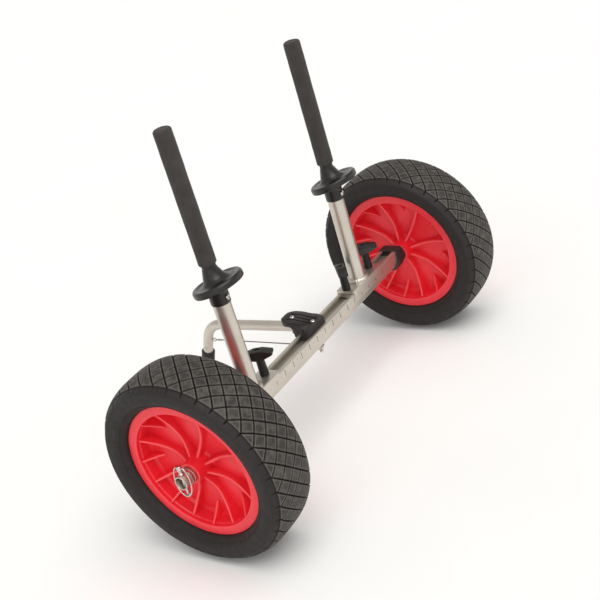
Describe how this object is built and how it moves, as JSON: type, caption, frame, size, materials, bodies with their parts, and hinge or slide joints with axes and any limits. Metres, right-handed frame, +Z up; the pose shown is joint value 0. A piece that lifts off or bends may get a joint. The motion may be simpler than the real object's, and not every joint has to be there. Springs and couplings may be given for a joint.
{
  "type": "kayak cart",
  "caption": "Plug-in boat cart: large foam-filled wheels on a tube axle, slotted rail with sliding saddles, upright foam-covered posts with support flanges, and a swing-away kickstand.",
  "frame": {"origin": "on the ground, at the middle of the box around the whole cart: half way along the axle, and half way between the wheels' front and the kickstand's foot", "axes": "+X along the axle towards the right-hand wheel, +Y towards the kickstand, +Z up along the posts"},
  "size_m": [0.7912, 0.4746, 0.6229],
  "materials": {
    "satin_aluminium": "satin brushed anodised",
    "plated_steel": "bright zinc plate",
    "stay_wire": "twisted wire rope",
    "red_plastic": "semi-gloss moulded",
    "tyre_rubber": "matt with diamond tread",
    "black_nylon": "satin moulded",
    "gloss_black": "polished moulded",
    "black_foam": "closed-cell foam, fine grain"
  },
  "bodies": {
    "chassis": {"rail": "satin_aluminium", "axle_tube": "satin_aluminium", "left_end_cap": "black_nylon", "right_end_cap": "black_nylon", "left_hub_spacer": "black_nylon", "right_hub_spacer": "black_nylon", "stand_block": "black_nylon", "stand_clamp_screw": "plated_steel", "stand_clamp_nut": "plated_steel", "stand_pivot_bolt": "plated_steel", "stand_pivot_nut": "plated_steel", "stay_anchor": "plated_steel", "stay_cable": "stay_wire"},
    "left_wheel": {"left_rim": "red_plastic", "left_tyre": "tyre_rubber", "left_hub_bush": "plated_steel"},
    "left_lock_pin": {"left_lock_pin": "plated_steel"},
    "left_bail": {"left_pin_bail": "plated_steel"},
    "left_saddle": {"left_saddle": "satin_aluminium", "left_post_tube": "satin_aluminium", "left_post_core": "satin_aluminium", "left_flange": "gloss_black", "left_flange_screw": "plated_steel", "left_foam_sleeve": "black_foam"},
    "right_wheel": {"right_rim": "red_plastic", "right_tyre": "tyre_rubber", "right_hub_bush": "plated_steel"},
    "right_lock_pin": {"right_lock_pin": "plated_steel"},
    "right_bail": {"right_pin_bail": "plated_steel"},
    "right_saddle": {"right_saddle": "satin_aluminium", "right_post_tube": "satin_aluminium", "right_post_core": "satin_aluminium", "right_flange": "gloss_black", "right_flange_screw": "plated_steel", "right_foam_sleeve": "black_foam"},
    "left_outer_knob": {"left_outer_knob": "black_nylon", "left_outer_stud": "plated_steel"},
    "left_outer_tnut": {"left_outer_tnut": "plated_steel"},
    "left_inner_knob": {"left_inner_knob": "black_nylon", "left_inner_stud": "plated_steel"},
    "left_inner_tnut": {"left_inner_tnut": "plated_steel"},
    "right_inner_knob": {"right_inner_knob": "black_nylon", "right_inner_stud": "plated_steel"},
    "right_inner_tnut": {"right_inner_tnut": "plated_steel"},
    "right_outer_knob": {"right_outer_knob": "black_nylon", "right_outer_stud": "plated_steel"},
    "right_outer_tnut": {"right_outer_tnut": "plated_steel"},
    "stand": {"stand_tube": "satin_aluminium", "stand_foot": "black_nylon", "stay_eyelet": "plated_steel"},
    "stand_button": {"stand_button": "plated_steel"}
  },
  "joints": [
    {"name": "left_wheel_spin", "type": "hinge", "parent": "chassis", "child": "left_wheel", "pos_m": [-0.3329, -0.07685, 0.1605], "axis": [1, 0, 0], "continuous": true},
    {"name": "right_wheel_spin", "type": "hinge", "parent": "chassis", "child": "right_wheel", "pos_m": [0.3329, -0.07685, 0.1605], "axis": [1, 0, 0], "continuous": true},
    {"name": "left_pin_pull", "type": "slide", "parent": "chassis", "child": "left_lock_pin", "axis": [0, 0, 1], "range_m": [0, 0.0095]},
    {"name": "left_bail_flip", "type": "hinge", "parent": "left_lock_pin", "child": "left_bail", "pos_m": [-0.388, -0.07685, 0.1831], "axis": [0, 1, 0], "range_deg": [0, 100]},
    {"name": "right_pin_pull", "type": "slide", "parent": "chassis", "child": "right_lock_pin", "axis": [0, 0, 1], "range_m": [0, 0.0095]},
    {"name": "right_bail_flip", "type": "hinge", "parent": "right_lock_pin", "child": "right_bail", "pos_m": [0.388, -0.07685, 0.1831], "axis": [0, -1, 0], "range_deg": [0, 100]},
    {"name": "left_saddle_slide", "type": "slide", "parent": "chassis", "child": "left_saddle", "axis": [1, 0, 0], "range_m": [-0.0175, 0.1]},
    {"name": "right_saddle_slide", "type": "slide", "parent": "chassis", "child": "right_saddle", "axis": [1, 0, 0], "range_m": [-0.085, 0.052]},
    {"name": "left_outer_knob_turn", "type": "hinge", "parent": "left_saddle", "child": "left_outer_knob", "pos_m": [-0.2347, -0.07685, 0.1894], "axis": [0, 0, 1], "range_deg": [0, 540]},
    {"name": "left_outer_tnut_slide", "type": "slide", "parent": "left_saddle", "child": "left_outer_tnut", "axis": [0, 0, 1], "range_m": [-0.0019, 0]},
    {"name": "left_inner_knob_turn", "type": "hinge", "parent": "left_saddle", "child": "left_inner_knob", "pos_m": [-0.1549, -0.07685, 0.1894], "axis": [0, 0, 1], "range_deg": [0, 540]},
    {"name": "left_inner_tnut_slide", "type": "slide", "parent": "left_saddle", "child": "left_inner_tnut", "axis": [0, 0, 1], "range_m": [-0.0019, 0]},
    {"name": "right_inner_knob_turn", "type": "hinge", "parent": "right_saddle", "child": "right_inner_knob", "pos_m": [0.1106, -0.07685, 0.1894], "axis": [0, 0, 1], "range_deg": [0, 540]},
    {"name": "right_inner_tnut_slide", "type": "slide", "parent": "right_saddle", "child": "right_inner_tnut", "axis": [0, 0, 1], "range_m": [-0.0019, 0]},
    {"name": "right_outer_knob_turn", "type": "hinge", "parent": "right_saddle", "child": "right_outer_knob", "pos_m": [0.1904, -0.07685, 0.1894], "axis": [0, 0, 1], "range_deg": [0, 540]},
    {"name": "right_outer_tnut_slide", "type": "slide", "parent": "right_saddle", "child": "right_outer_tnut", "axis": [0, 0, 1], "range_m": [-0.0019, 0]},
    {"name": "stand_swing", "type": "hinge", "parent": "chassis", "child": "stand", "pos_m": [-0.0035, -0.03685, 0.183], "axis": [0, 0, 1], "range_deg": [0, 90], "deforming": ["stay_cable"]},
    {"name": "stand_button_press", "type": "slide", "parent": "stand", "child": "stand_button", "axis": [1, 0, 0], "range_m": [0, 0.002], "stiffness_N_per_m": 600, "springref_m": -0.001}
  ],
  "couplings": [
    {"joint": "left_outer_tnut_slide", "follows": "left_outer_knob_turn", "m_per_rad": -0.00019894},
    {"joint": "left_inner_tnut_slide", "follows": "left_inner_knob_turn", "m_per_rad": -0.00019894},
    {"joint": "right_inner_tnut_slide", "follows": "right_inner_knob_turn", "m_per_rad": -0.00019894},
    {"joint": "right_outer_tnut_slide", "follows": "right_outer_knob_turn", "m_per_rad": -0.00019894}
  ]
}
